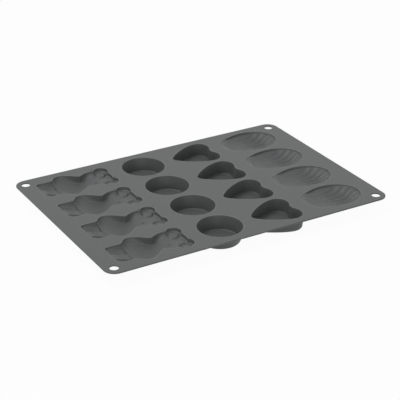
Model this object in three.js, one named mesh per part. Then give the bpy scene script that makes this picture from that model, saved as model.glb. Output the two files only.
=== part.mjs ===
// Flexible silicone baking mould: a thin deck with four columns of moulded cups
// (teddy, round, heart and madeleine shell) hanging below it.
// Millimetres, +Z up. The cups stand on z = 0 and the sheet is centred on the origin.
import * as THREE from 'three';

// Deck
const SHEET_THICKNESS = 1.6;
const SHEET_CORNER_RADIUS = 12.5;
const END_MARGIN = 19.4;
const SIDE_MARGIN = 9.2;
const HANG_HOLE_DIAMETER = 9.4;
const HANG_HOLE_INSET = 11;
const WEB_WIDTH = 8;

// Grid of cavities
const ROW_COUNT = 4;
const ROW_GAP = 6.2;
const COLUMN_GAP = 15;

// All cups: depths are measured down from the deck's top face
const CUP_WALL = 1.5;

// Flat-floored cups (round and heart), which carry the sheet
const PAN_DEPTH = 15;
const PAN_FILLET = 1;

// Round cup
const ROUND_DIAMETER = 48.2;
const ROUND_DRAFT = 3.2;

// Heart cup: stations run from the tip towards the lobes
const HEART_LENGTH = 52.5;
const HEART_WIDTH = 49.2;
const HEART_NOTCH = 3.6;
const HEART_TIP_ROUNDING = 3.4;
const HEART_LOBE_STATION = 40.8;
const HEART_LOBE_END_WIDTH = 24.6;
const HEART_CENTRE_STATION = 32;
const HEART_DRAFT = 1;

// Shell cup: stations run from the blunt hinge end towards the fan's round end
const SHELL_LENGTH = 68;
const SHELL_WIDTH = 49;
const SHELL_HINGE_WIDTH = 25;
const SHELL_HINGE_CORNER = 4;
const SHELL_HINGE_BOW = 1;
const SHELL_WIDEST_STATION = 37.5;
const SHELL_FAN_STATION = 10;
const SHELL_DEPTH = 9.3;
const SHELL_RIM_WALL = 2.4;
const SHELL_HINGE_DEPTH = 5;
const SHELL_RIB_COUNT = 9;
const SHELL_RIB_HEIGHT = 1.1;
const SHELL_FAN_ANGLE = 124;
const SHELL_DEEPEST_SHARE = 0.55;
const SHELL_END_STEEPNESS = 3;
const SHELL_RIB_START = [0.1, 0.4];

// Teddy cup: stations run from the feet towards the ears
const BEAR_FOOT_LENGTH = 18.5;
const BEAR_FOOT_WIDTH = 33.4;
const BEAR_FOOT_CORNER = 3;
const BEAR_FOOT_BOW = 0.6;
const BEAR_ARM_STATION = 30.5;
const BEAR_ARM_SPAN = 49.2;
const BEAR_NECK_STATION = 52.3;
const BEAR_NECK_WIDTH = 26.4;
const BEAR_HEAD_STATION = 67.5;
const BEAR_HEAD_WIDTH = 35.8;
const BEAR_EAR_STATION = 78;
const BEAR_EAR_SPACING = 27;
const BEAR_EAR_RADIUS = 8;
const BEAR_EAR_ARC = [155, -50];
const BEAR_CROWN_STATION = 83.7;
const BEAR_RIM_WALL = 2.2;
const BEAR_TOE_DEPTH = 3;
const BEAR_FOOT_DEPTH = 7.8;
const BEAR_DEEPEST_STATION = 46;
const BEAR_DEPTH = 9.6;
const BEAR_CROWN_DEPTH = 4.6;
const BEAR_TROUGH_WIDTH = 39;
const BEAR_TROUGH_ROUNDNESS = 0.55;

// Points along half of each outline
const ROUND_STEPS = 14;
const HEART_STEPS = 16;
const SHELL_STEPS = 22;
const BEAR_STEPS = 24;
const ARC_STEPS = 8;

const SILICONE_COLOUR = 0x6a6c6c;
const SILICONE_ROUGHNESS = 0.6;

const { degToRad, smoothstep, clamp, lerp } = THREE.MathUtils;
const BEAR_LENGTH = BEAR_EAR_STATION + BEAR_EAR_RADIUS;
const TOTAL_HEIGHT = PAN_DEPTH + CUP_WALL;
const CUP_TOP = TOTAL_HEIGHT - SHEET_THICKNESS;

// Outlines: each function draws the half with y >= 0, from the near end to the far end of the cup.
// Curve handles are shares of the span that they round.

function roundHalf() {
  const radius = ROUND_DIAMETER / 2;
  return new THREE.Path().absarc(radius, 0, radius, Math.PI, 0, true);
}

function heartHalf() {
  const half = HEART_WIDTH / 2;
  const tip = HEART_TIP_ROUNDING;
  const side = 1.7 * tip;
  const lobe = HEART_LENGTH - HEART_LOBE_STATION;
  const lobeEnd = HEART_LOBE_END_WIDTH / 2;
  const notch = HEART_LENGTH - HEART_NOTCH;
  const path = new THREE.Path();
  path.moveTo(0, 0);
  path.bezierCurveTo(0, 0.65 * tip, 0.4 * tip, 1.1 * tip, tip, side);
  path.bezierCurveTo(
    tip + half / 3, side + half / 3, HEART_LOBE_STATION - lobe, half, HEART_LOBE_STATION, half);
  path.bezierCurveTo(
    HEART_LOBE_STATION + 0.6 * lobe, half, HEART_LENGTH, 0.78 * half, HEART_LENGTH, lobeEnd);
  path.bezierCurveTo(HEART_LENGTH, 0.6 * lobeEnd, notch, 0.35 * lobeEnd, notch, 0);
  return path;
}

function shellHalf() {
  const half = SHELL_WIDTH / 2;
  const hinge = SHELL_HINGE_WIDTH / 2;
  const corner = SHELL_HINGE_CORNER;
  const flank = SHELL_WIDEST_STATION - corner;
  const end = SHELL_LENGTH - SHELL_WIDEST_STATION;
  const path = new THREE.Path();
  path.moveTo(0, 0);
  path.quadraticCurveTo(0, (hinge - corner) / 2, SHELL_HINGE_BOW, hinge - corner);
  path.quadraticCurveTo(SHELL_HINGE_BOW, hinge, corner, hinge + corner / 2);
  path.bezierCurveTo(
    corner + flank / 3, half - corner, SHELL_WIDEST_STATION - flank / 3, half, SHELL_WIDEST_STATION, half);
  path.bezierCurveTo(SHELL_WIDEST_STATION + 0.55 * end, half, SHELL_LENGTH, 0.55 * half, SHELL_LENGTH, 0);
  return path;
}

function bearHalf() {
  const foot = BEAR_FOOT_WIDTH / 2;
  const arm = BEAR_ARM_SPAN / 2;
  const neck = BEAR_NECK_WIDTH / 2;
  const head = BEAR_HEAD_WIDTH / 2;
  const ear = BEAR_EAR_SPACING / 2;
  const reach = BEAR_ARM_STATION - BEAR_FOOT_LENGTH;
  const shoulder = BEAR_NECK_STATION - BEAR_ARM_STATION;
  const cheek = BEAR_HEAD_STATION - BEAR_NECK_STATION;
  const path = new THREE.Path();
  path.moveTo(0, 0);
  path.quadraticCurveTo(0, (foot - BEAR_FOOT_CORNER) / 2, BEAR_FOOT_BOW, foot - BEAR_FOOT_CORNER);
  path.quadraticCurveTo(BEAR_FOOT_BOW, foot, BEAR_FOOT_CORNER + BEAR_FOOT_BOW, foot);
  path.quadraticCurveTo(BEAR_FOOT_LENGTH / 2, foot + BEAR_FOOT_BOW, BEAR_FOOT_LENGTH, foot);
  path.bezierCurveTo(
    BEAR_FOOT_LENGTH + 0.3 * reach, foot, BEAR_ARM_STATION - 0.6 * reach, arm, BEAR_ARM_STATION, arm);
  path.bezierCurveTo(
    BEAR_ARM_STATION + 0.45 * shoulder, arm,
    BEAR_NECK_STATION - 0.2 * shoulder, neck, BEAR_NECK_STATION, neck);
  path.bezierCurveTo(
    BEAR_NECK_STATION + 0.15 * cheek, neck, BEAR_HEAD_STATION - 0.65 * cheek, head, BEAR_HEAD_STATION, head);
  path.absarc(BEAR_EAR_STATION, ear, BEAR_EAR_RADIUS, ...BEAR_EAR_ARC.map(degToRad), true);
  path.quadraticCurveTo(BEAR_CROWN_STATION, ear / 3, BEAR_CROWN_STATION, 0);
  return path;
}

// The whole outline, counter-clockwise seen from above, with one point on the axis at each end
function wholeOutline(half, steps) {
  const upper = half.getSpacedPoints(steps);
  const lower = upper.slice(1, -1).map((p) => new THREE.Vector2(p.x, -p.y));
  return [...lower, ...upper.reverse()];
}

// The outline moved outwards, square to itself
function offsetOutline(outline, distance) {
  return outline.map((point, i) => {
    const before = outline.at(i - 1);
    const after = outline[(i + 1) % outline.length];
    const along = after.clone().sub(before).normalize();
    return new THREE.Vector2(point.x + along.y * distance, point.y - along.x * distance);
  });
}

// Rings: each takes an outline point and the point that its rings close in on, and gives the
// ring's own point and its depth below the deck's top face

function panRing(inset, depth) {
  return (point, target) => {
    const share = inset / point.distanceTo(target);
    return { at: point.clone().lerp(target, share), depth };
  };
}

function domeRing(share, depthAt) {
  return (point, target) => {
    const at = point.clone().lerp(target, share);
    return { at, depth: depthAt(share, at, target) };
  };
}

const mouthRing = panRing(0, SHEET_THICKNESS);

function panRings(draft, fillet) {
  const middle = (1 - Math.SQRT1_2) * fillet;
  return [
    mouthRing,
    panRing(draft, PAN_DEPTH - fillet),
    panRing(draft + middle, PAN_DEPTH - middle),
    panRing(draft + fillet, PAN_DEPTH),
  ];
}

// Depth along the teddy's axis: deepest before the neck, and shallow at the toes and the crown
function bearAxisDepth(x) {
  const foot = (BEAR_FOOT_DEPTH - BEAR_TOE_DEPTH) * smoothstep(x, 0, BEAR_FOOT_LENGTH);
  const belly = (BEAR_DEPTH - BEAR_FOOT_DEPTH) * smoothstep(x, BEAR_FOOT_LENGTH, BEAR_DEEPEST_STATION);
  const head = (BEAR_DEPTH - BEAR_CROWN_DEPTH) * smoothstep(x, BEAR_DEEPEST_STATION, BEAR_EAR_STATION);
  return BEAR_TOE_DEPTH + foot + belly - head;
}

// One round trough from the feet to the head: the neck's outline cuts into it, so its wall is the tallest
function bearDepth(share, at) {
  const wider = smoothstep(at.x, BEAR_FOOT_LENGTH, BEAR_ARM_STATION);
  const half = lerp(BEAR_FOOT_WIDTH, BEAR_TROUGH_WIDTH, wider) / 2;
  const trough = Math.max(0, 1 - (at.y / half) ** 2) ** BEAR_TROUGH_ROUNDNESS;
  return lerp(BEAR_RIM_WALL, bearAxisDepth(at.x), trough);
}

// A bowl that falls from the hinge to its deepest place and rises again to the fan's round end
function shellBowl(share, at, target) {
  const out = 1 - share;
  const deepest = SHELL_DEEPEST_SHARE;
  const forward = Math.max(0, Math.cos(at.clone().sub(target).angle()));
  const hinge = (SHELL_HINGE_DEPTH - SHELL_RIM_WALL) / (SHELL_DEPTH - SHELL_RIM_WALL);
  const fall = lerp(hinge, 1, smoothstep(out, 0, deepest));
  const rise = 1 - (Math.max(0, out - deepest) / (1 - deepest)) ** SHELL_END_STEEPNESS;
  const bowl = lerp(hinge * (1 - out * out), Math.min(fall, rise), forward);
  return lerp(SHELL_RIM_WALL, SHELL_DEPTH, bowl);
}

// The bowl with ribs that fan out from the hinge
function shellDepth(share, at, target) {
  const ray = at.clone().sub(target);
  const angle = Math.atan2(ray.y, ray.x);
  const rib = (1 + Math.cos(2 * Math.PI * SHELL_RIB_COUNT * angle / degToRad(SHELL_FAN_ANGLE))) / 2;
  const inFan = Math.abs(angle) < degToRad(SHELL_FAN_ANGLE) / 2 ? 1 : 0;
  const height = SHELL_RIB_HEIGHT * inFan * smoothstep(1 - share, ...SHELL_RIB_START);
  return shellBowl(share, at, target) - height * rib;
}

// How far each ring has closed in: the plainer outside skips some of the inside's rings
const BEAR_INSIDE = [0.06, 0.22, 0.42, 0.62, 0.8];
const BEAR_OUTSIDE = [0.06, 0.42, 0.62, 0.8];
const SHELL_INSIDE = [0.04, 0.14, 0.3, 0.55, 0.82];
const SHELL_OUTSIDE = [0.04, 0.3, 0.55, 0.82];

const columns = [
  {
    name: 'bear',
    length: BEAR_LENGTH,
    width: BEAR_ARM_SPAN,
    outline: wholeOutline(bearHalf(), BEAR_STEPS),
    target: (p) => new THREE.Vector2(clamp(p.x, BEAR_FOOT_LENGTH / 2, BEAR_EAR_STATION - BEAR_EAR_RADIUS), 0),
    inside: [mouthRing, ...BEAR_INSIDE.map((share) => domeRing(share, bearDepth))],
    outside: [mouthRing, ...BEAR_OUTSIDE.map((share) => domeRing(share, bearDepth))],
  },
  {
    name: 'round',
    length: ROUND_DIAMETER,
    width: ROUND_DIAMETER,
    outline: wholeOutline(roundHalf(), ROUND_STEPS),
    target: () => new THREE.Vector2(ROUND_DIAMETER / 2, 0),
    inside: panRings(ROUND_DRAFT, PAN_FILLET),
    outside: panRings(ROUND_DRAFT, PAN_FILLET + CUP_WALL),
  },
  {
    name: 'heart',
    length: HEART_LENGTH,
    width: HEART_WIDTH,
    outline: wholeOutline(heartHalf(), HEART_STEPS),
    target: () => new THREE.Vector2(HEART_CENTRE_STATION, 0),
    inside: panRings(HEART_DRAFT, PAN_FILLET),
    outside: panRings(HEART_DRAFT, PAN_FILLET + CUP_WALL),
  },
  {
    name: 'shell',
    length: SHELL_LENGTH,
    width: SHELL_WIDTH,
    outline: wholeOutline(shellHalf(), SHELL_STEPS),
    target: () => new THREE.Vector2(SHELL_FAN_STATION, 0),
    inside: [mouthRing, ...SHELL_INSIDE.map((share) => domeRing(share, shellDepth))],
    outside: [mouthRing, ...SHELL_OUTSIDE.map((share) => domeRing(share, shellBowl))],
  },
];

// Places: the columns are centred on the sheet, with a flexible web half-way between neighbours

const widest = Math.max(...columns.map((column) => column.width));
const rowPitch = widest + ROW_GAP;
const rowCentres = Array.from({ length: ROW_COUNT }, (_, row) => (row - (ROW_COUNT - 1) / 2) * rowPitch);
const gaps = (columns.length - 1) * COLUMN_GAP;
const gridLength = columns.reduce((sum, column) => sum + column.length, gaps);
const sheetLength = gridLength + 2 * END_MARGIN;
const sheetWidth = (ROW_COUNT - 1) * rowPitch + widest + 2 * SIDE_MARGIN;

let cursor = -gridLength / 2;
for (const column of columns) {
  column.start = cursor;
  cursor += column.length + COLUMN_GAP;
}
const webCentres = columns.slice(1).map((column) => column.start - COLUMN_GAP / 2);

// Solids

function cupGeometry(column) {
  const { outline, target } = column;
  const count = outline.length;
  const positions = [];
  const index = [];

  function addSkin(edge, rings, wall) {
    const first = positions.length / 3;
    rings.forEach((ring, level) => {
      edge.forEach((point, i) => {
        const { at, depth } = ring(point, target(outline[i]));
        const drop = level === 0 ? 0 : wall;
        positions.push(at.x, at.y, TOTAL_HEIGHT - depth - drop);
      });
    });
    return first;
  }

  function addTriangle(a, b, c, facesIn) {
    index.push(...(facesIn ? [a, b, c] : [a, c, b]));
  }

  function addWalls(first, ringCount, facesIn) {
    for (let level = 0; level < ringCount - 1; level += 1) {
      const upper = first + level * count;
      const lower = upper + count;
      for (let i = 0; i < count; i += 1) {
        const next = (i + 1) % count;
        addTriangle(upper + i, upper + next, lower + i, facesIn);
        addTriangle(upper + next, lower + next, lower + i, facesIn);
      }
    }
  }

  // Each lower point is joined to its mirror image, from the axis point at one end to that at the other
  function addFloor(first, ringCount, facesIn) {
    const base = first + (ringCount - 1) * count;
    const farEnd = count / 2 - 1;
    const at = (i) => base + (i + count) % count;
    const mirror = (i) => at(2 * farEnd - i);
    for (let i = -1; i < farEnd; i += 1) {
      if (i + 1 < farEnd) {
        addTriangle(at(i + 1), mirror(i + 1), mirror(i), facesIn);
      }
      if (i >= 0) {
        addTriangle(at(i), at(i + 1), mirror(i), facesIn);
      }
    }
  }

  const inner = addSkin(outline, column.inside, 0);
  const outer = addSkin(offsetOutline(outline, CUP_WALL), column.outside, CUP_WALL);
  addWalls(inner, column.inside.length, true);
  addWalls(outer, column.outside.length, false);
  addFloor(inner, column.inside.length, true);
  addFloor(outer, column.outside.length, false);
  for (let i = 0; i < count; i += 1) {
    const next = (i + 1) % count;
    addTriangle(inner + i, outer + i, inner + next, true);
    addTriangle(inner + next, outer + i, outer + next, true);
  }

  const geometry = new THREE.BufferGeometry();
  geometry.setAttribute('position', new THREE.Float32BufferAttribute(positions, 3));
  geometry.setIndex(index);
  geometry.computeVertexNormals();
  return geometry;
}

function panelShape(left, right, roundLeft, roundRight) {
  const half = sheetWidth / 2;
  const radius = SHEET_CORNER_RADIUS;
  const shape = new THREE.Shape();
  if (roundRight) {
    shape.absarc(right - radius, radius - half, radius, -Math.PI / 2, 0, false);
    shape.absarc(right - radius, half - radius, radius, 0, Math.PI / 2, false);
  } else {
    shape.moveTo(right, -half);
    shape.lineTo(right, half);
  }
  if (roundLeft) {
    shape.absarc(left + radius, half - radius, radius, Math.PI / 2, Math.PI, false);
    shape.absarc(left + radius, radius - half, radius, Math.PI, 1.5 * Math.PI, false);
  } else {
    shape.lineTo(left, half);
    shape.lineTo(left, -half);
  }
  shape.closePath();
  return shape;
}

function hangHoles(side) {
  const x = side * (sheetLength / 2 - HANG_HOLE_INSET);
  const y = sheetWidth / 2 - HANG_HOLE_INSET;
  const radius = HANG_HOLE_DIAMETER / 2;
  return [-y, y].map((across) => new THREE.Path().absarc(x, across, radius, 0, 2 * Math.PI, false));
}

function panelGeometry(column, order) {
  const isFirst = order === 0;
  const isLast = order === columns.length - 1;
  const left = isFirst ? -sheetLength / 2 : webCentres[order - 1] + WEB_WIDTH / 2;
  const right = isLast ? sheetLength / 2 : webCentres[order] - WEB_WIDTH / 2;
  const shape = panelShape(left, right, isFirst, isLast);
  for (const y of rowCentres) {
    const mouth = column.outline.map((p) => new THREE.Vector2(column.start + p.x, y + p.y));
    shape.holes.push(new THREE.Path(mouth).closePath());
  }
  if (isFirst) {
    shape.holes.push(...hangHoles(-1));
  }
  if (isLast) {
    shape.holes.push(...hangHoles(1));
  }
  const options = { depth: SHEET_THICKNESS, bevelEnabled: false, curveSegments: ARC_STEPS };
  return new THREE.ExtrudeGeometry(shape, options).translate(0, 0, CUP_TOP);
}

function webGeometry(centre) {
  return new THREE.BoxGeometry(WEB_WIDTH, sheetWidth, SHEET_THICKNESS).translate(
    centre, 0, CUP_TOP + SHEET_THICKNESS / 2);
}

function siliconeMesh(name, geometry) {
  const material = new THREE.MeshStandardMaterial({
    color: SILICONE_COLOUR,
    roughness: SILICONE_ROUGHNESS,
    metalness: 0,
  });
  const mesh = new THREE.Mesh(geometry, material);
  mesh.name = name;
  return mesh;
}

// Assembly

const mould = new THREE.Group();
columns.forEach((column, order) => {
  mould.add(siliconeMesh(`${column.name}_deck_panel`, panelGeometry(column, order)));
  rowCentres.forEach((y, row) => {
    const cup = siliconeMesh(`${column.name}_cup_${row + 1}`, cupGeometry(column));
    cup.position.set(column.start, y, 0);
    mould.add(cup);
  });
});
webCentres.forEach((centre, order) => {
  const name = `flex_web_${columns[order].name}_${columns[order + 1].name}`;
  mould.add(siliconeMesh(name, webGeometry(centre)));
});

export default mould;
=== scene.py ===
# %% [markdown]
# A flexible silicone baking mould
#
# The object is one moulding of dark-grey silicone: a thin deck with four columns of cups hanging
# below it, for teddies, rounds, hearts and shells. The CAD model gives the fixed frame, with a
# body for each column and a sprung hinge in each plain strip between two columns. This script
# dresses every CAD node with a finer skin: rounded rims, fluted shells, sculpted teddies.

# %% Load the frame
import math
import bmesh
import bpy
from mathutils import Matrix, Vector
from mathutils.geometry import interpolate_bezier
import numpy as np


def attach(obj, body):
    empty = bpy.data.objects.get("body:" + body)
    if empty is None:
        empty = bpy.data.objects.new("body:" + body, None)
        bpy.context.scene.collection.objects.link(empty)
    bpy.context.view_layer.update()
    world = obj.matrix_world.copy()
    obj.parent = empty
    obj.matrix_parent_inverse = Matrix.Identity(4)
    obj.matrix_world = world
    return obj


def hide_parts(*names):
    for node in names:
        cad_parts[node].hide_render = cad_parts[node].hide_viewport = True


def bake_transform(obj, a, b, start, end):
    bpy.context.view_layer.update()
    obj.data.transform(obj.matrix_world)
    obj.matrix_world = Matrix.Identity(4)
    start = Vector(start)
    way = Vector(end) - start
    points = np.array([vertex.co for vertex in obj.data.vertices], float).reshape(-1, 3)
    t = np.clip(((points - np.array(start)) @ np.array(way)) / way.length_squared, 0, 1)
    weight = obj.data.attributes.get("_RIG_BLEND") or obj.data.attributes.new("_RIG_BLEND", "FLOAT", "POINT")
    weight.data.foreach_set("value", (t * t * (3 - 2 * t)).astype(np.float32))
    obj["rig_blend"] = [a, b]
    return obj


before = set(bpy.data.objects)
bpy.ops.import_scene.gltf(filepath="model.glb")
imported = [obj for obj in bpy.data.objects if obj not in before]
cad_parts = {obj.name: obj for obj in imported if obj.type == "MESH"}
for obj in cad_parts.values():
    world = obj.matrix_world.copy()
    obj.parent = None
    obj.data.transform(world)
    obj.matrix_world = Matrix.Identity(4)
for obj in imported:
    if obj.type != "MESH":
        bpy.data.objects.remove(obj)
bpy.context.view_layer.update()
MM = 0.001

# %% [markdown]
# The camera
#
# The four hanging holes sit on a rectangle, so a pinhole camera can be worked out from where they
# appear in the picture. The result is kept as an azimuth, an elevation, a small roll and a
# distance from the middle of the deck. Writing the matrix out is surer than a Track To
# constraint, because the roll is then exact.

# %% Camera
CAMERA_AZIMUTH = math.radians(-30.592)
CAMERA_ELEVATION = math.radians(26.545)
CAMERA_ROLL = math.radians(0.231)
CAMERA_DISTANCE = 1395.34 * MM
CAMERA_RIGHT = 0.43 * MM
CAMERA_UP = -10.35 * MM
CAMERA_LENS = 115.58
DECK_MIDDLE = Vector((0, 0, 15.7 * MM))

flat = math.cos(CAMERA_ELEVATION)
back = Vector((math.sin(CAMERA_AZIMUTH) * flat, -math.cos(CAMERA_AZIMUTH) * flat, math.sin(CAMERA_ELEVATION)))
level_right = Vector((math.cos(CAMERA_AZIMUTH), math.sin(CAMERA_AZIMUTH), 0))
level_up = back.cross(level_right)
right = level_right * math.cos(CAMERA_ROLL) + level_up * math.sin(CAMERA_ROLL)
up = level_up * math.cos(CAMERA_ROLL) - level_right * math.sin(CAMERA_ROLL)

camera_data = bpy.data.cameras.new("photo_camera")
camera_data.lens = CAMERA_LENS
camera_data.sensor_width = 36
camera = bpy.data.objects.new("photo_camera", camera_data)
bpy.context.scene.collection.objects.link(camera)
place = DECK_MIDDLE + back * CAMERA_DISTANCE + right * CAMERA_RIGHT + up * CAMERA_UP
camera.matrix_world = Matrix.Translation(place) @ Matrix((right, up, back)).transposed().to_4x4()
bpy.context.scene.camera = camera
print("camera stands at", [round(value, 3) for value in place])

# %% [markdown]
# Shader helper
#
# Node graphs are easier to read as sums than as lists of links. This class holds one output
# socket. Arithmetic on it adds Math nodes, and its node method adds any other node.


# %% One class for shader sums
class Wire:
    def __init__(self, tree, socket=None):
        self.tree = tree
        self.socket = socket

    def node(self, kind, settings, inputs, output=0):
        made = self.tree.nodes.new(kind)
        for name, value in settings.items():
            setattr(made, name, value)
        for key, value in inputs.items():
            if isinstance(value, Wire):
                self.tree.links.new(value.socket, made.inputs[key])
            else:
                made.inputs[key].default_value = value
        return Wire(self.tree, made.outputs[output] if made.outputs else None)

    def math(self, operation, first, second):
        return self.node("ShaderNodeMath", {"operation": operation}, {0: first, 1: second})

    def __add__(self, other):
        return self.math("ADD", self, other)

    def __radd__(self, other):
        return self.math("ADD", other, self)

    def __sub__(self, other):
        return self.math("SUBTRACT", self, other)

    def __mul__(self, other):
        return self.math("MULTIPLY", self, other)

    def __rmul__(self, other):
        return self.math("MULTIPLY", other, self)


def empty_tree(owner):
    owner.use_nodes = True
    owner.node_tree.nodes.clear()
    return Wire(owner.node_tree)


# %% [markdown]
# Silicone
#
# Platinum silicone is dull and even, but never perfectly so: the colour clouds a little over some
# centimetres, the tool's fine grit leaves a satin grain, and the rims are painted a shade lighter,
# partly as handling wear and partly as a painted highlight along the rim edges. The clouds and
# grain are noise on Object coordinates, so they run on from piece to piece. The rims carry an
# attribute of their own, written when the cups are made, that holds both the wear and the
# painted highlight.

# %% Silicone material
SILICONE_DARK = (0.098, 0.101, 0.102, 1)
SILICONE_LIGHT = (0.116, 0.12, 0.12, 1)
# The lighter rim colour is partly handling wear and partly a painted highlight along the rim edges.
SILICONE_RIM_WEAR_AND_HIGHLIGHT = (0.15, 0.154, 0.154, 1)
CLOUD_SCALE = 26
GRAIN_SCALE = 1400
RIM_WEAR_AND_HIGHLIGHT_SHARE = 0.9
ROUGHNESS = 0.41
CLOUD_ROUGHNESS = 0.12
GRAIN_ROUGHNESS = 0.08
SILICONE_IOR = 1.41
GRAIN_STRENGTH = 0.2
GRAIN_HEIGHT = 0.2 * MM


def silicone_material():
    material = bpy.data.materials.new("grey_silicone")
    tree = empty_tree(material)
    coordinates = tree.node("ShaderNodeTexCoord", {}, {}, "Object")
    clouds = tree.node("ShaderNodeTexNoise", {}, {"Vector": coordinates, "Scale": CLOUD_SCALE, "Detail": 3.0})
    grain = tree.node("ShaderNodeTexNoise", {}, {"Vector": coordinates, "Scale": GRAIN_SCALE, "Detail": 2.0})
    # The rim attribute masks the lighter rim colour: handling wear plus a painted highlight on the rims.
    rim = tree.node("ShaderNodeAttribute", {"attribute_name": "rim"}, {}, "Fac")
    body_colour = tree.node(
        "ShaderNodeMix", {"data_type": "RGBA"}, {0: clouds, 6: SILICONE_DARK, 7: SILICONE_LIGHT}, 2
    )
    colour = tree.node(
        "ShaderNodeMix", {"data_type": "RGBA"}, {0: rim * RIM_WEAR_AND_HIGHLIGHT_SHARE, 6: body_colour, 7: SILICONE_RIM_WEAR_AND_HIGHLIGHT}, 2
    )
    roughness = ROUGHNESS + CLOUD_ROUGHNESS * clouds - GRAIN_ROUGHNESS * grain
    bump = tree.node(
        "ShaderNodeBump", {}, {"Strength": GRAIN_STRENGTH, "Distance": GRAIN_HEIGHT, "Height": grain}
    )
    surface = tree.node(
        "ShaderNodeBsdfPrincipled",
        {},
        {"Base Color": colour, "Roughness": roughness, "IOR": SILICONE_IOR, "Normal": bump},
    )
    tree.node("ShaderNodeOutputMaterial", {}, {"Surface": surface})
    return material


SILICONE = silicone_material()
print("silicone has", len(SILICONE.node_tree.nodes), "nodes")

# %% [markdown]
# Outlines
#
# Each cup has a mouth with one axis of symmetry, so only the half with y >= 0 is drawn, from the
# near end to the far end, as Bezier curves and arcs in millimetres. Even spacing matters more
# than the curves' own parameter, so the half is walked once more in equal steps and mirrored.

# %% Outline helpers
CURVE_POINTS = 24


def cubic(start, handle, other_handle, end):
    points = [Vector((x, y, 0)) for x, y in (start, handle, other_handle, end)]
    return interpolate_bezier(*points, CURVE_POINTS)


def quadratic(start, corner, end):
    def towards_corner(point):
        return [p + (c - p) * 2 / 3 for p, c in zip(point, corner)]

    return cubic(start, towards_corner(start), towards_corner(end), end)


def arc(centre, radius, first, last):
    steps = range(CURVE_POINTS)
    angles = [math.radians(first + (last - first) * step / (CURVE_POINTS - 1)) for step in steps]
    return [Vector((centre[0] + radius * math.cos(a), centre[1] + radius * math.sin(a), 0)) for a in angles]


def even_steps(curves, count):
    points = [point for curve in curves for point in curve]
    lengths = [(b - a).length for a, b in zip(points, points[1:])]
    step = sum(lengths) / count
    spaced = [points[0].copy()]
    walked = 0.0
    for a, b, length in zip(points, points[1:], lengths):
        while len(spaced) < count and walked + length >= step * len(spaced):
            spaced.append(a.lerp(b, (step * len(spaced) - walked) / length))
        walked += length
    spaced.append(points[-1].copy())
    return spaced


def whole_outline(curves, count):
    upper = even_steps(curves, count)
    lower = [Vector((p.x, -p.y, 0)) for p in upper[1:-1]]
    return lower + upper[::-1]


def outward_normals(outline):
    around = zip(outline[-1:] + outline[:-1], outline[1:] + outline[:1])
    return [(after - before).cross(Vector((0, 0, 1))).normalized() for before, after in around]


# %% [markdown]
# The four mouths
#
# The measures are the CAD model's own, so the skins sit on its solids. The round is an arc. The
# heart is a soft tip, a flank, a lobe and the curve into the notch. The shell has a blunt hinge
# end and a round fan end. The teddy lies on its back with its feet at the near end.

# %% Mouth outlines
ROUND_DIAMETER = 48.2
HEART_LENGTH = 52.5
HEART_WIDTH = 49.2
SHELL_LENGTH = 68
SHELL_WIDTH = 49
BEAR_LENGTH = 86


def round_half():
    radius = ROUND_DIAMETER / 2
    return [arc((radius, 0), radius, 180, 0)]


def heart_half():
    half = HEART_WIDTH / 2
    tip = 3.4
    side = 1.7 * tip
    widest = 40.8
    lobe = HEART_LENGTH - widest
    lobe_end = 12.3
    notch = HEART_LENGTH - 3.6
    return [
        cubic((0, 0), (0, 0.65 * tip), (0.4 * tip, 1.1 * tip), (tip, side)),
        cubic((tip, side), (tip + half / 3, side + half / 3), (widest - lobe, half), (widest, half)),
        cubic(
            (widest, half), (widest + 0.6 * lobe, half),
            (HEART_LENGTH, 0.78 * half), (HEART_LENGTH, lobe_end),
        ),
        cubic((HEART_LENGTH, lobe_end), (HEART_LENGTH, 0.6 * lobe_end), (notch, 0.35 * lobe_end), (notch, 0)),
    ]


def shell_half():
    half = SHELL_WIDTH / 2
    hinge = 12.5
    corner = 4
    bow = 1
    widest = 37.5
    flank = widest - corner
    end = SHELL_LENGTH - widest
    shoulder = (corner, hinge + corner / 2)
    return [
        quadratic((0, 0), (0, (hinge - corner) / 2), (bow, hinge - corner)),
        quadratic((bow, hinge - corner), (bow, hinge), shoulder),
        cubic(shoulder, (corner + flank / 3, half - corner), (widest - flank / 3, half), (widest, half)),
        cubic((widest, half), (widest + 0.55 * end, half), (SHELL_LENGTH, 0.55 * half), (SHELL_LENGTH, 0)),
    ]


def bear_half():
    foot_end, foot, corner, bow = 18.5, 16.7, 3, 0.6
    arm_station, arm = 30.5, 24.6
    neck_station, neck = 52.3, 13.2
    head_station, head = 67.5, 17.9
    ear_centre, ear_radius = (78, 13.5), 8
    crown = 83.7
    reach = arm_station - foot_end
    shoulder = neck_station - arm_station
    cheek = head_station - neck_station
    ear = arc(ear_centre, ear_radius, 155, -50)
    ear_end = ear[-1][:2]
    return [
        quadratic((0, 0), (0, (foot - corner) / 2), (bow, foot - corner)),
        quadratic((bow, foot - corner), (bow, foot), (corner + bow, foot)),
        quadratic((corner + bow, foot), (foot_end / 2, foot + bow), (foot_end, foot)),
        cubic(
            (foot_end, foot), (foot_end + 0.3 * reach, foot),
            (arm_station - 0.6 * reach, arm), (arm_station, arm),
        ),
        cubic(
            (arm_station, arm), (arm_station + 0.45 * shoulder, arm),
            (neck_station - 0.2 * shoulder, neck), (neck_station, neck),
        ),
        cubic(
            (neck_station, neck), (neck_station + 0.15 * cheek, neck),
            (head_station - 0.65 * cheek, head), (head_station, head),
        ),
        ear,
        quadratic(ear_end, (crown, ear_centre[1] / 3), (crown, 0)),
    ]


# %% [markdown]
# Depths
#
# A sculpted cup is a height field: every point of its floor has one depth below the deck. The
# teddy joins a body and two feet, each a trough with its own depth along the axis, by taking
# the deeper one at every point. A ledge is left where the feet end, a low ridge parts the feet,
# and the ears and the nose are small grooves. A short rounded wall leads down from the rim. The
# shell is a bowl with a row of flutes that splay towards its fan end.

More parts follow.
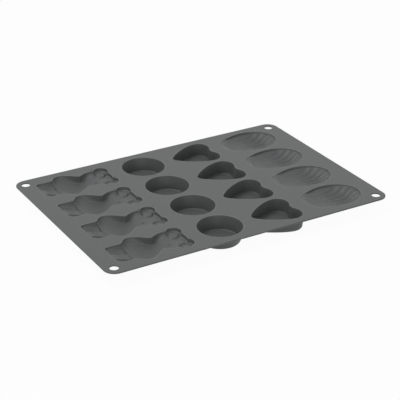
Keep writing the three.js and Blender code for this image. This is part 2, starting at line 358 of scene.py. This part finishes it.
# %% Depth of the teddy and the shell
def smoothstep(low, high, value):
    share = min(1.0, max(0.0, (value - low) / (high - low)))
    return share * share * (3 - 2 * share)


def mix(a, b, share):
    return a + (b - a) * share


def soft_max(a, b, softness):
    share = min(1.0, max(0.0, 0.5 + 0.5 * (a - b) / softness))
    return mix(b, a, share) + softness * share * (1 - share)


def along(x, stops):
    value = stops[0][1]
    for (start, before), (end, after) in zip(stops, stops[1:]):
        value += (after - before) * smoothstep(start, end, x)
    return value


def trough(across, half_width, power, roundness):
    return max(0.0, 1 - (across / half_width) ** power) ** roundness


def groove(distance, depth, width):
    return depth * math.exp(-((distance / width) ** 2))


BEAR_RIM = ((16, 1.8), (24, 2.0), (40, 1.4), (70, 2.0), (84, 3.2))
BODY_FLOOR = ((6, 0), (24, 8.4), (40, 9.6), (44, 9.6), (76, 5.0), (88, 3.6))
BODY_HALF_WIDTH = ((20, 17), (30, 28), (46, 26), (56, 24), (68, 19))
BODY_ROUNDNESS = ((22, 0.8), (44, 0.65), (52, 0.45), (58, 0.45), (68, 0.8))
FOOT_FLOOR = ((-6, 1), (20, 8.2))
FOOT_HALF_WIDTH = 16.9
FOOT_ROUNDNESS = 0.5
BODY_POWER = 2
FOOT_POWER = 3
FOOT_RIDGE = 1.3
FOOT_RIDGE_SIDES = (5.2, 6.4)
FOOT_RIDGE_START = (1, 6)
LEDGE = (20.8, 21.3)
LEDGE_SOFTNESS = 0.3
BEAR_WALL_SHARE = 0.12
EAR_CENTRE = (77.6, 13.2)
EAR_GROOVE_RADIUS = 6.2
EAR_GROOVE_DEPTH = 1.6
EAR_GROOVE_WIDTH = 1.2
NOSE_STATION = 66.2
NOSE_DEPTH = 1.8
NOSE_WIDTH = 1.4


def bear_depth(x, y, share, small_features=True):
    across = abs(y)
    rim = along(x, BEAR_RIM)
    roundness = along(x, BODY_ROUNDNESS)
    half_width = along(x, BODY_HALF_WIDTH)
    body = (along(x, BODY_FLOOR) - rim) * trough(across, half_width, BODY_POWER, roundness)
    foot = (along(x, FOOT_FLOOR) - rim) * trough(across, FOOT_HALF_WIDTH, FOOT_POWER, FOOT_ROUNDNESS)
    if small_features:
        foot -= FOOT_RIDGE * (1 - smoothstep(*FOOT_RIDGE_SIDES, across)) * smoothstep(*FOOT_RIDGE_START, x)
    deep = soft_max(body, foot * (1 - smoothstep(*LEDGE, x)), LEDGE_SOFTNESS)
    deep *= 1 - (1 - min(1.0, share / BEAR_WALL_SHARE)) ** 2
    if small_features:
        ear = math.hypot(x - EAR_CENTRE[0], across - EAR_CENTRE[1])
        deep += groove(ear - EAR_GROOVE_RADIUS, EAR_GROOVE_DEPTH, EAR_GROOVE_WIDTH)
        deep += groove(math.hypot(x - NOSE_STATION, y), NOSE_DEPTH, NOSE_WIDTH)
    return rim + max(0.0, deep)


FLUTE_PITCH = 5.2
FLUTE_SPLAY = 4.6
SPLAY_POWER = 3
FLUTES_BEGIN = 0.12
FLUTE_DEPTH = ((12, 0.3), (60, 1.6))
SHELL_RIM = ((6, 0.2), (24, 2.4), (48, 2.4), (64, 1.2))
SHELL_FLOOR = ((-14, 2.5), (26, 6.8), (46, 9.3))
SHELL_STEEPNESS = ((2, 0.7), (22, 2.7), (44, 2.7), (64, 1.5))


def shell_bowl(x, y, share):
    rim = along(x, SHELL_RIM)
    return mix(rim, along(x, SHELL_FLOOR), 1 - (1 - share) ** along(x, SHELL_STEEPNESS))


def shell_depth(x, y, share):
    # Half a turn puts a ridge, not a groove, on the axis.
    turn = 0.5 + y / (FLUTE_PITCH + FLUTE_SPLAY * (x / SHELL_LENGTH) ** SPLAY_POWER)
    from_middle = 2 * (turn - round(turn))
    ridge = along(x, FLUTE_DEPTH) * from_middle**2
    begins = smoothstep(0, FLUTES_BEGIN, share)
    return shell_bowl(x, y, share) - ridge * begins


# %% [markdown]
# Cup skins
#
# A cup is one closed shell: a flat collar in the deck, a rounded rim, the inside down to its
# floor, and the outside a wall's thickness away. A ring of edges is extruded again and again,
# and each new ring is put in its place. The last ring falls on the cup's axis, where merging
# doubles closes the floor. Lathe tools would do for the round only, so all four share this way.

# %% Rings of a cup
TOTAL_HEIGHT = 16.5
SHEET_THICKNESS = 1.6
CUP_WALL = 1.5
COLLAR = 2.6
RIM_ROUNDING = 0.45
ROOT_ROUNDING = 0.8
ROUNDING_STEPS = 5
# How much lighter rim colour each rim ring gets: partly wear, partly a painted highlight on the rim.
RIM_WEAR_AND_HIGHLIGHT_STEPS = ((1.2, 0.3), (RIM_ROUNDING, 1))
PAN_DEPTH = 15.0
PAN_DRAFTS = {"round": 3.2, "heart": 1.0}
PAN_FILLET = 1.0
PAN_WALL_TOP = 1
PAN_WALL_SHARES = (0.3, 0.65)
PAN_FLOOR_SHARES = (0.5, 1.0)
FILLET_GROWTH = 1.6
TOUCHING = 0.01


class Cup:
    def __init__(self, curves, count, target):
        self.outline = whole_outline(curves, count)
        self.normals = outward_normals(self.outline)
        self.targets = [target(point) for point in self.outline]

    def wall_ring(self, out, depth):
        drop = Vector((0, 0, TOTAL_HEIGHT - depth))
        return [point + normal * out + drop for point, normal in zip(self.outline, self.normals)]

    def inset_ring(self, out, inset, depth):
        ring = []
        for point, normal, target in zip(self.outline, self.normals, self.targets):
            edge = point + normal * out
            at = edge + (target - edge).normalized() * inset
            ring.append(Vector((at.x, at.y, TOTAL_HEIGHT - depth)))
        return ring

    def dome_ring(self, out, share, depth_at, wall):
        ring = []
        for point, normal, target in zip(self.outline, self.normals, self.targets):
            at = (point + normal * out).lerp(target, share)
            ring.append(Vector((at.x, at.y, TOTAL_HEIGHT - wall - depth_at(at.x, at.y, share))))
        return ring

    def rim_rings(self):
        # The painted rim highlight and wear are strongest on the rounded edge and fade into the cup.
        rings = [(self.wall_ring(out, 0), wear_and_highlight) for out, wear_and_highlight in RIM_WEAR_AND_HIGHLIGHT_STEPS]
        for step in range(1, ROUNDING_STEPS + 1):
            angle = math.pi / 2 * step / ROUNDING_STEPS
            out = RIM_ROUNDING * (1 - math.sin(angle))
            depth = RIM_ROUNDING * (1 - math.cos(angle))
            rings.append((self.wall_ring(out, depth), 1 - step / ROUNDING_STEPS))
        return rings

    def root_rings(self):
        rings = [(self.wall_ring(COLLAR, SHEET_THICKNESS), 0)]
        for step in range(ROUNDING_STEPS + 1):
            angle = math.pi / 2 * step / ROUNDING_STEPS
            out = CUP_WALL + ROOT_ROUNDING * (1 - math.sin(angle))
            depth = SHEET_THICKNESS + ROOT_ROUNDING * (1 - math.cos(angle))
            rings.append((self.wall_ring(out, depth), 0))
        return rings


def pan_rings(cup, draft, wall):
    rings = []
    fillet = PAN_FILLET + FILLET_GROWTH * wall
    for share in PAN_WALL_SHARES:
        depth = mix(PAN_WALL_TOP, PAN_DEPTH - fillet, share)
        rings.append((cup.inset_ring(wall, draft * share, wall + depth), 0))
    for step in range(ROUNDING_STEPS + 1):
        angle = math.pi / 2 * step / ROUNDING_STEPS
        inset = draft + fillet * (1 - math.cos(angle))
        depth = PAN_DEPTH - fillet * (1 - math.sin(angle))
        rings.append((cup.inset_ring(wall, inset, wall + depth), 0))
    floor = rings[-1][0]
    for share in PAN_FLOOR_SHARES:
        shrunk = []
        for point, target in zip(floor, cup.targets):
            shrunk.append(point.lerp(target + Vector((0, 0, point.z)), share))
        rings.append((shrunk, 0))
    return rings


def dome_rings(cup, out, wall, shares, depth_at):
    return [(cup.dome_ring(out, share, depth_at, wall), 0) for share in shares]


def sink(mesh, ring, places, wear_and_highlight):
    made = bmesh.ops.extrude_edge_only(mesh, edges=ring)["geom"]
    number = mesh.verts.layers.int["number"]
    rim = mesh.verts.layers.float["rim"]
    for point in made:
        if isinstance(point, bmesh.types.BMVert):
            point.co = places[point[number]]
            # Writes the rim attribute, which holds handling wear and a painted highlight along the rim.
            point[rim] = wear_and_highlight
    return [edge for edge in made if isinstance(edge, bmesh.types.BMEdge)]


def cup_shell(cup, inside, outside):
    mesh = bmesh.new()
    number = mesh.verts.layers.int.new("number")
    mesh.verts.layers.float.new("rim")
    collar = [mesh.verts.new(point) for point in cup.wall_ring(COLLAR, 0)]
    for order, point in enumerate(collar):
        point[number] = order
    start = [mesh.edges.new(pair) for pair in zip(collar, collar[1:] + collar[:1])]
    for rings in (cup.rim_rings() + inside, cup.root_rings() + outside):
        ring = start
        for places, wear_and_highlight in rings:
            ring = sink(mesh, ring, places, wear_and_highlight)
    bmesh.ops.remove_doubles(mesh, verts=mesh.verts, dist=TOUCHING)
    bmesh.ops.recalc_face_normals(mesh, faces=mesh.faces)
    return mesh


# %% [markdown]
# Making pieces
#
# Every piece is finished the same way: the mesh goes from millimetres to metres, level faces stay
# flat shaded so that the deck has no false gradients, and the object stays at the origin.

# %% Finish a piece
COLUMNS = ("bear", "round", "heart", "shell")
COLUMN_LENGTHS = {"bear": BEAR_LENGTH, "round": ROUND_DIAMETER, "heart": HEART_LENGTH, "shell": SHELL_LENGTH}
COLUMN_GAP = 15
ROW_PITCH = 55.4
SHARP_ANGLE = math.radians(35)
LEVEL_NORMAL = 0.9999
ROW_CENTRES = [(row - 1.5) * ROW_PITCH for row in range(4)]
GRID_LENGTH = sum(COLUMN_LENGTHS.values()) + COLUMN_GAP * 3
column_starts = {}
cursor = -GRID_LENGTH / 2
for column in COLUMNS:
    column_starts[column] = cursor
    cursor += COLUMN_LENGTHS[column] + COLUMN_GAP


def finish_piece(name, mesh, node):
    bmesh.ops.scale(mesh, vec=(MM, MM, MM), verts=mesh.verts)
    for face in mesh.faces:
        face.smooth = abs(face.normal.z) < LEVEL_NORMAL
    for edge in mesh.edges:
        edge.smooth = edge.calc_face_angle(0) < SHARP_ANGLE
    data = bpy.data.meshes.new(name)
    mesh.to_mesh(data)
    mesh.free()
    data.materials.append(SILICONE)
    piece = bpy.data.objects.new(name, data)
    bpy.context.scene.collection.objects.link(piece)
    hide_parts(node)
    return piece


# %% [markdown]
# The sixteen cups
#
# One shell is made for each column and copied along its four rows. In the teddy and the shell the
# rings close on a stretch of the axis and not on one point, so they run lengthwise, as flutes do.

# %% Cups
ROUND_CENTRE = Vector((ROUND_DIAMETER / 2, 0, 0))
HEART_CENTRE = Vector((32, 0, 0))
SHELL_AXIS = (12, 48)
BEAR_AXIS = (9, 70)
OUTLINE_STEPS = {"bear": 220, "round": 48, "heart": 64, "shell": 190}
DOME_RINGS = 36
FIRST_SHARE = 0.02
RING_CROWDING = 1.15
DOME_STEPS = [(step / DOME_RINGS) ** RING_CROWDING for step in range(DOME_RINGS + 1)]
DOME_SHARES = [mix(FIRST_SHARE, 1, step) for step in DOME_STEPS]
OUTSIDE_SHARES = DOME_SHARES[::3]


def on_axis(point, ends):
    return Vector((min(max(point.x, ends[0]), ends[1]), 0, 0))


def bear_plain(x, y, share):
    return bear_depth(x, y, share, False)


cups = {
    "bear": Cup(bear_half(), OUTLINE_STEPS["bear"], lambda point: on_axis(point, BEAR_AXIS)),
    "round": Cup(round_half(), OUTLINE_STEPS["round"], lambda point: ROUND_CENTRE),
    "heart": Cup(heart_half(), OUTLINE_STEPS["heart"], lambda point: HEART_CENTRE),
    "shell": Cup(shell_half(), OUTLINE_STEPS["shell"], lambda point: on_axis(point, SHELL_AXIS)),
}
skins = {
    "bear": (
        dome_rings(cups["bear"], 0, 0, DOME_SHARES, bear_depth),
        dome_rings(cups["bear"], CUP_WALL, CUP_WALL, OUTSIDE_SHARES, bear_plain),
    ),
    "shell": (
        dome_rings(cups["shell"], 0, 0, DOME_SHARES, shell_depth),
        dome_rings(cups["shell"], CUP_WALL, CUP_WALL, OUTSIDE_SHARES, shell_bowl),
    ),
}
for column, draft in PAN_DRAFTS.items():
    skins[column] = (pan_rings(cups[column], draft, 0), pan_rings(cups[column], draft, CUP_WALL))

for column in COLUMNS:
    shell = cup_shell(cups[column], *skins[column])
    for row, across in enumerate(ROW_CENTRES, start=1):
        copy = shell.copy()
        bmesh.ops.translate(copy, vec=(column_starts[column], across, 0), verts=copy.verts)
        piece = finish_piece(f"moulded_{column}_cup_{row}", copy, f"{column}_cup_{row}")
        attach(piece, f"{column}_strip")
    print(column, "cup has", len(shell.faces), "faces")
    shell.free()

# %% [markdown]
# The deck
#
# Each panel is a flat plate with holes where the collars sit. Its border and the collars' edges
# are laid out as loops of edges, triangle_fill closes the plane between them, and an extrusion
# gives the thickness. Only the free edges are bevelled, so that panels and webs stay flush.

# %% Deck panels
END_MARGIN = 19.4
SIDE_MARGIN = 9.2
WEB_WIDTH = 8
CORNER_RADIUS = 12.5
EDGE_ROUNDING = 0.5
FOLD_ANGLE = 1
HOLE_RADIUS = 4.7
HOLE_INSET = 11
SHEET_LENGTH = GRID_LENGTH + 2 * END_MARGIN
SHEET_WIDTH = 3 * ROW_PITCH + HEART_WIDTH + 2 * SIDE_MARGIN
web_centres = [column_starts[column] - COLUMN_GAP / 2 for column in COLUMNS[1:]]
seams = [centre + side * WEB_WIDTH / 2 for centre in web_centres for side in (-1, 1)]
panel_ends = list(zip([-SHEET_LENGTH / 2] + seams[1::2], seams[0::2] + [SHEET_LENGTH / 2]))


def thicken_and_round(mesh, free):
    made = bmesh.ops.extrude_face_region(mesh, geom=mesh.faces[:])["geom"]
    lower = [item for item in made if isinstance(item, bmesh.types.BMVert)]
    bmesh.ops.translate(mesh, vec=(0, 0, -SHEET_THICKNESS), verts=lower)
    bmesh.ops.recalc_face_normals(mesh, faces=mesh.faces)
    edges = []
    for edge in mesh.edges:
        a, b = edge.verts
        on_seam = any(abs(a.co.x - x) < TOUCHING and abs(b.co.x - x) < TOUCHING for x in seams)
        level = abs(a.co.z - b.co.z) < TOUCHING
        folded = edge.calc_face_angle(0) > FOLD_ANGLE
        if a[free] and b[free] and level and folded and not on_seam:
            edges.append(edge)
    bmesh.ops.bevel(
        mesh, geom=edges, offset=EDGE_ROUNDING, affect="EDGES", segments=3, profile=0.5, material=-1
    )


def panel_plate(column, left, right_end):
    mesh = bmesh.new()
    free = mesh.verts.layers.int.new("free")
    half = SHEET_WIDTH / 2
    bmesh.ops.create_grid(mesh, x_segments=1, y_segments=1, size=0.5)
    bmesh.ops.scale(mesh, vec=(right_end - left, SHEET_WIDTH, 1), verts=mesh.verts)
    bmesh.ops.translate(mesh, vec=((left + right_end) / 2, 0, TOTAL_HEIGHT), verts=mesh.verts)
    corners = [point for point in mesh.verts if abs(abs(point.co.x) - SHEET_LENGTH / 2) < TOUCHING]
    holes = []
    if corners:
        side = math.copysign(1, corners[0].co.x)
        holes = [(side * (SHEET_LENGTH / 2 - HOLE_INSET), y) for y in (HOLE_INSET - half, half - HOLE_INSET)]
        bmesh.ops.bevel(
            mesh, geom=corners, offset=CORNER_RADIUS, affect="VERTICES", segments=12, profile=0.5, material=-1
        )
    for x, y in holes:
        bmesh.ops.create_circle(
            mesh, segments=40, radius=HOLE_RADIUS, matrix=Matrix.Translation((x, y, TOTAL_HEIGHT))
        )
    for point in mesh.verts:
        point[free] = 1
    bmesh.ops.delete(mesh, geom=mesh.faces[:], context="FACES_ONLY")
    for across in ROW_CENTRES:
        place = Vector((column_starts[column], across, 0))
        loop = [mesh.verts.new(point + place) for point in cups[column].wall_ring(COLLAR, 0)]
        for pair in zip(loop, loop[1:] + loop[:1]):
            mesh.edges.new(pair)
    bmesh.ops.triangle_fill(mesh, edges=mesh.edges[:], use_beauty=True, normal=(0, 0, 1))
    thicken_and_round(mesh, free)
    return mesh


for column, (left, right_end) in zip(COLUMNS, panel_ends):
    plate = panel_plate(column, left, right_end)
    print(column, "panel has", len(plate.faces), "faces")
    piece = finish_piece(f"moulded_{column}_deck", plate, f"{column}_deck_panel")
    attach(piece, f"{column}_strip")

# %% [markdown]
# The webs
#
# The three plain strips between the columns are where the mould bends.

# %% Webs
WEB_BANDS = 16


def web_plate(centre):
    mesh = bmesh.new()
    free = mesh.verts.layers.int.new("free")
    bmesh.ops.create_grid(mesh, x_segments=WEB_BANDS, y_segments=1, size=0.5)
    bmesh.ops.scale(mesh, vec=(WEB_WIDTH, SHEET_WIDTH, 1), verts=mesh.verts)
    bmesh.ops.translate(mesh, vec=(centre, 0, TOTAL_HEIGHT), verts=mesh.verts)
    for point in mesh.verts:
        point[free] = 1
    thicken_and_round(mesh, free)
    return mesh


for order, centre in enumerate(web_centres):
    before, after = COLUMNS[order], COLUMNS[order + 1]
    piece = finish_piece(f"moulded_web_{before}_{after}", web_plate(centre), f"flex_web_{before}_{after}")
    start = ((centre - WEB_WIDTH / 2) * MM, 0, DECK_MIDDLE.z)
    end = ((centre + WEB_WIDTH / 2) * MM, 0, DECK_MIDDLE.z)
    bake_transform(piece, f"{before}_strip", f"{after}_strip", start=start, end=end)
    print(piece.name, "bends from", round(start[0], 4), "to", round(end[0], 4))

# %% [markdown]
# Floor, background and light
#
# A catalogue picture stands on white. The floor is pale, and to the camera it is mostly a plain
# white glow, which leaves only a trace of the mould's shadow. Reflected and refracted rays see
# the same white, which gives the flat deck its sheen. The light is a soft dome from the world
# and a wide softbox up on the left, with a small lamp in its middle that puts bright spots in
# the curved cups. A weak softbox in front keeps the cups' outer sides from going black.

# %% Stage
FLOOR_COLOUR = (0.8, 0.8, 0.8, 1)
FLOOR_SIZE = 8
FLOOR_GLOW = 0.96
WORLD_LEVEL = 0.38


def background_rays(tree):
    camera_ray = tree.node("ShaderNodeLightPath", {}, {}, "Is Camera Ray")
    glossy_ray = tree.node("ShaderNodeLightPath", {}, {}, "Is Glossy Ray")
    transmission_ray = tree.node("ShaderNodeLightPath", {}, {}, "Is Transmission Ray")
    return camera_ray + glossy_ray + transmission_ray


def floor_material():
    material = bpy.data.materials.new("pale_floor")
    tree = empty_tree(material)
    seen = background_rays(tree)
    pale = tree.node("ShaderNodeBsdfDiffuse", {}, {"Color": FLOOR_COLOUR})
    glow = tree.node("ShaderNodeEmission", {}, {"Color": (1, 1, 1, 1), "Strength": 1.0})
    surface = tree.node("ShaderNodeMixShader", {}, {0: seen * FLOOR_GLOW, 1: pale, 2: glow})
    tree.node("ShaderNodeOutputMaterial", {}, {"Surface": surface})
    return material


floor_mesh = bmesh.new()
bmesh.ops.create_grid(floor_mesh, x_segments=1, y_segments=1, size=FLOOR_SIZE)
floor_data = bpy.data.meshes.new("floor")
floor_mesh.to_mesh(floor_data)
floor_mesh.free()
floor_data.materials.append(floor_material())
floor = bpy.data.objects.new("floor", floor_data)
bpy.context.scene.collection.objects.link(floor)

# %% World and softboxes
world = bpy.data.worlds.new("studio")
bpy.context.scene.world = world
tree = empty_tree(world)
seen = background_rays(tree)
dome_light = tree.node("ShaderNodeBackground", {}, {"Color": (1, 1, 1, 1), "Strength": WORLD_LEVEL})
white = tree.node("ShaderNodeBackground", {}, {"Color": (1, 1, 1, 1), "Strength": 1.0})
shown = tree.node("ShaderNodeMixShader", {}, {0: seen, 1: dome_light, 2: white})
tree.node("ShaderNodeOutputWorld", {}, {"Surface": shown})


def softbox(name, place, aim, size, watts):
    data = bpy.data.lights.new(name, "AREA")
    data.shape = "RECTANGLE"
    data.size = size[0]
    data.size_y = size[1]
    data.energy = watts
    lamp = bpy.data.objects.new(name, data)
    lamp.location = place
    lamp.rotation_euler = (Vector(aim) - Vector(place)).to_track_quat("-Z", "Y").to_euler()
    bpy.context.scene.collection.objects.link(lamp)


softbox("front_softbox", (-0.4, -1.6, 0.3), (0, 0, 0), (1.2, 0.5), 5)
softbox("top_softbox", (-1.2, 0.6, 2.9), (0, 0, 0), (1.8, 1.8), 30)
softbox("key_softbox", (-1.2, 0.6, 2.9), (0, 0, 0), (0.3, 0.3), 10)

bpy.context.scene.view_settings.view_transform = "Standard"
